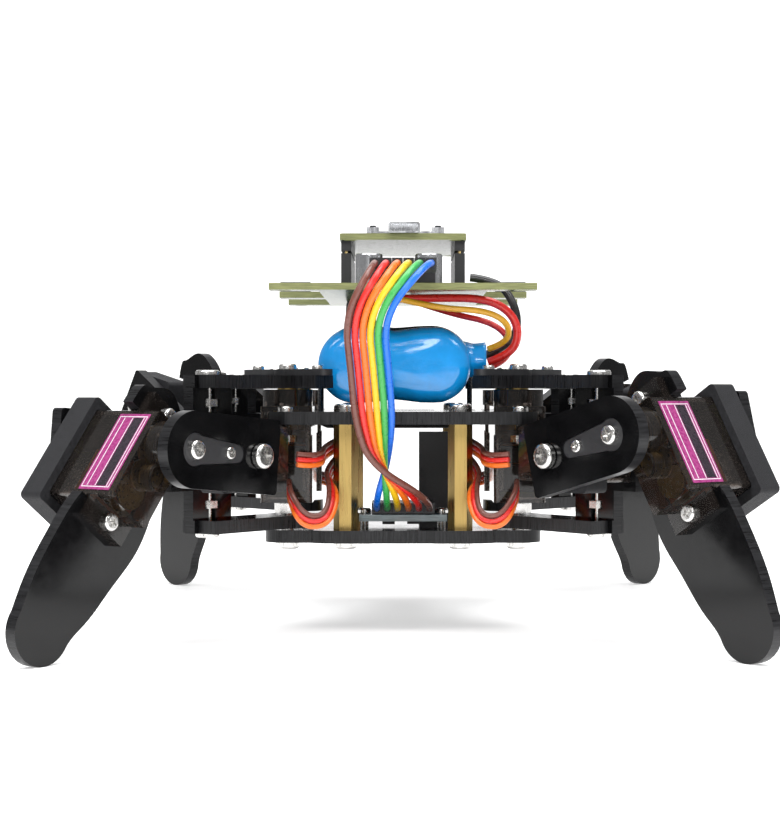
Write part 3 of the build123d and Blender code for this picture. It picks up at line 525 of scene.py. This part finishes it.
def shrunk(ring, scale, push):
    cx, cz = BODY.x + BAT_X, CELL_Z
    return [(cx + (x - cx) * scale, y + push, cz + (z - cz) * scale) for x, y, z in ring]


rings = ([shrunk(rings[0], s, p) for s, p in ((0.2, -0.5), (0.45, -0.46), (0.7, -0.34), (0.88, -0.16))] + rings
         + [shrunk(rings[-1], s, -p) for s, p in ((0.88, -0.16), (0.7, -0.34), (0.45, -0.46), (0.2, -0.5))])
battery = finished("battery_wrap", lofted("battery_wrap", rings), Matrix.Identity(4), [BLUE], "chassis")
neck_rings = []
for k in range(12):
    t = k / 11
    w, h = 6.6 - 2.3 * min(1, t * 1.5) + 0.2 * sin(9 * t), 5.6 - 1.7 * min(1, t * 1.5)
    ring = []
    for j in range(40):
        a = 2 * pi * j / 40
        fold = 1 + 0.05 * sin(6 * a) * t
        ring.append((BODY.x + 12.2 + 7.8 * t, BODY.y - 25.4 + w * cos(a) * fold,
                     CELL_Z + 0.8 + 0.8 * t + h * sin(a) * fold))
    neck_rings.append(ring)
neck = finished("battery_neck", lofted("battery_neck", neck_rings), Matrix.Identity(4), [BLUE], "chassis")
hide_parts("battery_pack")
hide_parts("battery_pack")

# ---- strap round the battery and the plate -------------------------------------------------------
def strap_path(grow, low):
    cx, half = BODY.x + BAT_X, 2 * BAT_R + grow
    pts = [(cx - half + 2, low), (cx + half - 2, low), (cx + half - 0.6, low + 0.6), (cx + half, low + 2)]
    pts += [(cx + half, z) for z in (low + 6, low + 9, low + 12)]
    for k in range(0, 13):
        a = radians(90 * k / 12)
        pts.append((cx + BAT_R + (BAT_R + grow) * cos(a), CELL_Z + (BAT_R + grow) * sin(a)))
    for k in range(1, 10):
        x = BAT_R - 2 * BAT_R * k / 10
        pts.append((cx + x, CELL_Z + BAT_R + grow - 0.5 * exp(-(x / 4.5) ** 2)))
    for k in range(0, 13):
        a = radians(90 + 90 * k / 12)
        pts.append((cx - BAT_R + (BAT_R + grow) * cos(a), CELL_Z + (BAT_R + grow) * sin(a)))
    pts += [(cx - half, z) for z in (low + 12, low + 9, low + 6, low + 2)] + [(cx - half + 0.6, low + 0.6)]
    return pts


def band(name, path, thickness, y0, y1, closed):
    rings, n = [], len(path)
    for i, (x, z) in enumerate(path):
        a, b = path[(i - 1) % n if closed else max(0, i - 1)], path[(i + 1) % n if closed else min(n - 1, i + 1)]
        d = Vector((b[0] - a[0], b[1] - a[1])).normalized()
        out = Vector((d.y, -d.x)) * thickness / 2
        wob = 0.15 * sin(i * 1.7)
        ring = []
        for s, yy in ((1, y0), (1, y0 + 0.5), (1, (y0 + y1) / 2), (1, y1 - 0.5), (1, y1), (-1, y1), (-1, y1 - 0.5),
                      (-1, (y0 + y1) / 2), (-1, y0 + 0.5), (-1, y0)):
            edge = 0.72 if yy in (y0, y1) else 1.0
            ring.append((x + out.x * s * edge, BODY.y + yy + wob * (0.6 if abs(yy) > 8 else 0), z + out.y * s * edge))
        rings.append(ring)
    if closed:
        rings.append(rings[0])
    return lofted(name, rings, not closed)


strap = finished("strap_band", band("strap_band", strap_path(0.55, 47.95), 0.8, -8.8, 8.8, True), Matrix.Identity(4),
                 [STRAP], "chassis")
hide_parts("battery_strap")

# ---- foam pad under the board ----------------------------------------------------------------------
pad_rings = []
for k in range(11):
    t = k / 10
    z = 72.35 + (80.55 - 72.35) * t
    bulge = -0.5 + 0.9 * sin(pi * t) ** 0.6
    ring = []
    for j in range(48):
        a = 2 * pi * j / 48
        c, s = cos(a), sin(a)
        sq = (abs(c) ** 6 + abs(s) ** 6) ** (-1 / 6)
        ring.append((BODY.x + BAT_X - BAT_R + (3.8 + bulge * 0.5) * c * sq, BODY.y + 22 + (9.5 + bulge * 0.5) * s * sq, z))
    pad_rings.append(ring)
pad = finished("foam_pad", lofted("foam_pad", pad_rings), Matrix.Identity(4), [FOAM], "chassis")
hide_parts("board_pad")

# ---- wires: the routes of part.py as smooth curves --------------------------------------------------
PITCH = 2.54


def jumper_route(k):
    o = k - 2.5
    return [(o * PITCH, -58.2, 85.6), (o * PITCH * 0.92 - 0.6, -67.6, 85.0), (-8.6 + o * 1.7, -67.6, 73.5),
            (-7.4 + o * 1.7, -61.0, 61.0), (-6.6 + o * 1.7, -54.0 + o * 0.5, 50.0),
            (-5.6 + o * 0.8, -46.5 + o * 2.4, 40.0),
            (-o * PITCH, -37.5, 31.2), (-o * PITCH, -28.5, 28.6)]


BATTERY_LEADS = (
    ("lead_red", "red", 1.0, 46.8, ((20.6, -27.0, 63.8), (26.0, -28.2, 65.6), (28.0, -29.6, 70.8),
                                    (25.6, -31.0, 76.0), (19.6, -31.0, 79.0), (8.0, -28.0, 79.3), (-2.0, -22.0, 79.3))),
    ("lead_black", "black", 1.0, 30.4, ((19.0, -24.0, 65.2), (26.2, -23.4, 67.8), (28.2, -22.4, 73.2),
                                        (26.8, -21.6, 79.0), (23.0, -21.0, 83.8), (16.4, -20.6, 84.6))),
    ("lead_yellow", "amber", 0.75, 40.2, ((20.6, -27.6, 67.0), (25.2, -30.6, 68.4), (25.2, -33.6, 73.0),
                                          (19.6, -34.8, 76.0), (8.0, -35.0, 76.4), (-3.5, -33.0, 79.4))),
    ("lead_thin_red", "red", 0.75, 38.4, ((20.6, -23.0, 62.4), (25.6, -21.4, 64.2), (26.4, -19.8, 69.6),
                                          (21.8, -18.6, 73.8), (12.0, -17.0, 75.8), (2.0, -12.0, 79.4))),
)
RIBBONS = (
    ("loop", (54.0, 54.8, 55.7), (((26.8, -38.4, 34.4), (0, 0, -1)), ((26.4, -46.0, 32.4), (0, 0, -1)),
                                  ((22.8, -48.0, 26.6), (0.3, 0, -1)), ((17.4, -47.0, 27.0), (-0.3, 0, -1)),
                                  ((15.9, -41.0, 33.4), (-0.9, 0, -0.4)), ((18.9, -31.0, 37.8), (0, 0, -1)),
                                  ((13.5, -16.0, 41.8), (0, 0, -1)))),
    ("cross", (33.2, 33.2, 33.2), (((24.6, -45.4, 41.0), (0, 0, -1)), ((19.0, -42.6, 40.2), (0, 0, -1)),
                                   ((18.8, -31.0, 43.0), (0, 0, -1)), ((12.0, -17.0, 45.4), (0, 0, -1)))),
    ("rear", (44.0, 44.0, 44.0), (((26.8, 38.4, 32.2), (0, 0, -1)), ((25.6, 46.2, 31.6), (0, 0, -1)),
                                  ((17.6, 46.4, 33.0), (0, 0, -1)), ((18.9, 34.0, 37.4), (0, 0, -1)),
                                  ((13.0, 18.0, 42.6), (0, 0, -1)))),
)


def wire(name, route, radius, length, colour, node):
    """One insulated wire, held at both ends, as a smooth curve through the route's control points."""
    pts = [(Vector(p) + BODY) * MM for p in route]
    cu = bpy.data.curves.new(name, "CURVE")
    cu.dimensions, cu.fill_mode, cu.resolution_u = "3D", "FULL", 12
    sp = cu.splines.new("NURBS")
    sp.points.add(len(pts) - 1)
    for q, p in zip(sp.points, pts):
        q.co = (*p, 1)
    sp.order_u, sp.use_endpoint_u = 3, True
    cu.bevel_depth, cu.bevel_resolution, cu.use_fill_caps = radius * MM, 5, True
    cu.materials.append(WIRE[colour])
    obj = bpy.data.objects.new(name, cu)
    bpy.context.scene.collection.objects.link(obj)
    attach(obj, "chassis")
    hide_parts(node)
    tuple(pts[0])


JUMPER_LENGTHS = (88.6, 86.1, 84.3, 83.1, 82.9, 83.9)
for k, colour in enumerate(("brown", "red", "orange", "yellow", "green", "blue")):
    wire(f"jumper_{colour}", jumper_route(k), 0.8, JUMPER_LENGTHS[k], colour, "jumper_wires")
for name, colour, radius, length, route in BATTERY_LEADS:
    wire(name, route, radius, length, colour, "battery_leads")
for side, hand in ((-1, "left"), (1, "right")):
    for label_, lengths, spec in RIBBONS:
        for k, colour in enumerate(("brown", "red", "orange")):
            step = (k - 1) * 1.25
            route = [(side * (p[0] + step * d[0]), p[1] + step * d[1], p[2] + step * d[2]) for p, d in spec]
            wire(f"{label_}_{hand}_{colour}", route, 0.6, lengths[k], colour, "servo_leads")

# ---- floor, light and camera -------------------------------------------------------------------------
def backdrop():
    profile = [(-1.6, 0.0), (0.9, 0.0)]
    profile += [(0.9 + 0.5 * sin(radians(a)), 0.5 - 0.5 * cos(radians(a))) for a in range(6, 91, 6)] + [(1.4, 2.2)]
    verts = [(x, y, z) for y, z in profile for x in (-0.62, 0.62)]
    faces = [(2 * i, 2 * i + 1, 2 * i + 3, 2 * i + 2) for i in range(len(profile) - 1)]
    me = bpy.data.meshes.new("studio_sweep")
    me.from_pydata(verts, [], faces)
    for p in me.polygons:
        p.use_smooth = True
    obj = bpy.data.objects.new("studio_sweep", me)
    bpy.context.scene.collection.objects.link(obj)
    f = Finish("paper_sweep", Emission_Color=(1, 1, 1, 1), Emission_Strength=0.42)
    fibre = f.noise(60.0, 5.0)
    f.colour(f.ramp(fibre, ((0.3, (0.90, 0.90, 0.90)), (0.7, (0.93, 0.93, 0.93)))))
    f.rough(f.span(fibre, 0.6, 0.75))
    me.materials.append(f.m)


backdrop()


def softbox(name, at, target, size, power):
    lamp = bpy.data.lights.new(name, "AREA")
    lamp.shape, lamp.size, lamp.size_y, lamp.energy = "RECTANGLE", size[0], size[1], power
    obj = bpy.data.objects.new(name, lamp)
    obj.location = at
    obj.rotation_euler = (Vector(target) - Vector(at)).to_track_quat("-Z", "Y").to_euler()
    bpy.context.scene.collection.objects.link(obj)


softbox("top_box", (0.0, -0.1, 1.1), (0, 0, 0.04), (1.1, 0.9), 16.0)
softbox("left_box", (-0.75, -0.55, 0.95), (0, 0, 0.05), (0.45, 0.45), 5.0)
softbox("right_box", (0.75, -0.55, 0.95), (0, 0, 0.05), (0.45, 0.45), 5.0)
softbox("front_box", (-0.12, -1.5, 0.62), (0, 0, 0.06), (0.5, 0.3), 5.0)

world = bpy.data.worlds.new("studio")
world.use_nodes = True
world.node_tree.nodes["Background"].inputs[0].default_value = (1, 1, 1, 1)
world.node_tree.nodes["Background"].inputs[1].default_value = 0.3
scene = bpy.context.scene
scene.world = world
scene.view_settings.view_transform = "Standard"

FOCAL_PX, CENTRE_PX, FRAME_PX = 1916.7, (403.0, 392.65), (780, 825)
camera = bpy.data.cameras.new("camera")
camera.sensor_width, camera.sensor_fit = 36.0, "AUTO"
camera.lens = FOCAL_PX / FRAME_PX[1] * 36.0
camera.shift_x = (FRAME_PX[0] / 2 - CENTRE_PX[0]) / FRAME_PX[1]
camera.shift_y = (CENTRE_PX[1] - FRAME_PX[1] / 2) / FRAME_PX[1]
camera.clip_start, camera.clip_end = 0.01, 20.0
cam = bpy.data.objects.new("camera", camera)
cam.location = (BODY.x * MM, (BODY.y - 489.4) * MM, 0.05644)
cam.rotation_euler = (radians(90), 0, 0)
scene.collection.objects.link(cam)
scene.camera = cam
